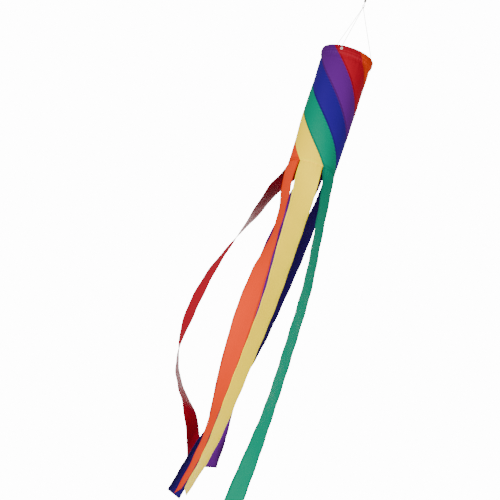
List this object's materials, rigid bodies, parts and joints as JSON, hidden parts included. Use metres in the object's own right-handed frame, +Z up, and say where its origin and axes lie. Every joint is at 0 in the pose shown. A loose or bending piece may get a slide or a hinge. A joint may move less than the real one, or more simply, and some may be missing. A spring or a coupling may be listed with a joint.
{
  "type": "hanging windsock with ribbon tails",
  "caption": "Round garden windsock of spiralling colour panels with long ribbon tails, hung from a corded bridle by a barrel swivel and a spring clip.",
  "frame": {"origin": "inside top of the clip's hook, where it bears on what holds the windsock up", "axes": "+Z up along the sock's axis; -Y is the front, where the yellow tail hangs at rest; +X is to the right seen from the front"},
  "size_m": [0.3225, 0.3381, 1.6205],
  "materials": {
    "red_cloth": "satin woven nylon",
    "orange_cloth": "satin woven nylon",
    "yellow_cloth": "satin woven nylon",
    "green_cloth": "satin woven nylon",
    "blue_cloth": "satin woven nylon",
    "purple_cloth": "satin woven nylon",
    "cord": "braided",
    "eyelet": "white enamel",
    "hoop": "smooth drawn rod",
    "metal": "nickel plate"
  },
  "bodies": {
    "clip": {"clip_hook": "metal", "gate_pin": "metal"},
    "gate": {"clip_gate": "metal"},
    "upper_eye": {"swivel_upper_eye": "metal"},
    "barrel": {"swivel_barrel": "metal"},
    "lower_eye": {"swivel_lower_eye": "metal"},
    "sock": {"bridle_knot": "cord", "bridle_line_front": "cord", "bridle_line_right": "cord", "bridle_line_left": "cord", "stopper_knot_front": "cord", "stopper_knot_right": "cord", "stopper_knot_left": "cord", "eyelet_front": "eyelet", "eyelet_right": "eyelet", "eyelet_left": "eyelet", "hoop_rod": "hoop", "hoop_ferrule": "metal", "panel_red": "red_cloth", "panel_orange": "orange_cloth", "panel_yellow": "yellow_cloth", "panel_green": "green_cloth", "panel_blue": "blue_cloth", "panel_purple": "purple_cloth"},
    "red_tail": {"tail_red": "red_cloth"},
    "orange_tail": {"tail_orange": "orange_cloth"},
    "yellow_tail": {"tail_yellow": "yellow_cloth"},
    "green_tail": {"tail_green": "green_cloth"},
    "blue_tail": {"tail_blue": "blue_cloth"},
    "purple_tail": {"tail_purple": "purple_cloth"}
  },
  "joints": [
    {"name": "gate_swing", "type": "hinge", "parent": "clip", "child": "gate", "pos_m": [0.0055, 0, -0.021], "axis": [0, -1, 0], "range_deg": [0, 25], "stiffness_Nm_per_rad": 0.01},
    {"name": "upper_eye_swing", "type": "hinge", "parent": "clip", "child": "upper_eye", "pos_m": [0, 0, -0.0295], "axis": [1, 0, 0], "range_deg": [-80, 80]},
    {"name": "barrel_spin", "type": "hinge", "parent": "upper_eye", "child": "barrel", "pos_m": [0, 0, -0.0428], "axis": [0, 0, 1], "continuous": true},
    {"name": "lower_eye_spin", "type": "hinge", "parent": "barrel", "child": "lower_eye", "pos_m": [0, 0, -0.0428], "axis": [0, 0, 1], "continuous": true},
    {"name": "bridle_swing", "type": "hinge", "parent": "lower_eye", "child": "sock", "pos_m": [0, 0, -0.0583], "axis": [0, 1, 0], "range_deg": [-75, 75]},
    {"name": "red_tail_lift", "type": "hinge", "parent": "sock", "child": "red_tail", "pos_m": [-0.0557, 0.039, -0.58093], "axis": [0.5736, 0.8192, 0], "range_deg": [0, 60]},
    {"name": "orange_tail_lift", "type": "hinge", "parent": "sock", "child": "orange_tail", "pos_m": [-0.06163, -0.02874, -0.58093], "axis": [-0.4226, 0.9063, 0], "range_deg": [0, 60]},
    {"name": "yellow_tail_lift", "type": "hinge", "parent": "sock", "child": "yellow_tail", "pos_m": [-0.00593, -0.06774, -0.58093], "axis": [-0.9962, 0.0872, 0], "range_deg": [0, 60]},
    {"name": "green_tail_lift", "type": "hinge", "parent": "sock", "child": "green_tail", "pos_m": [0.0557, -0.039, -0.58093], "axis": [-0.5736, -0.8192, 0], "range_deg": [0, 60]},
    {"name": "blue_tail_lift", "type": "hinge", "parent": "sock", "child": "blue_tail", "pos_m": [0.06163, 0.02874, -0.58093], "axis": [0.4226, -0.9063, 0], "range_deg": [0, 60]},
    {"name": "purple_tail_lift", "type": "hinge", "parent": "sock", "child": "purple_tail", "pos_m": [0.00593, 0.06774, -0.58093], "axis": [0.9962, -0.0872, 0], "range_deg": [0, 60]}
  ]
}
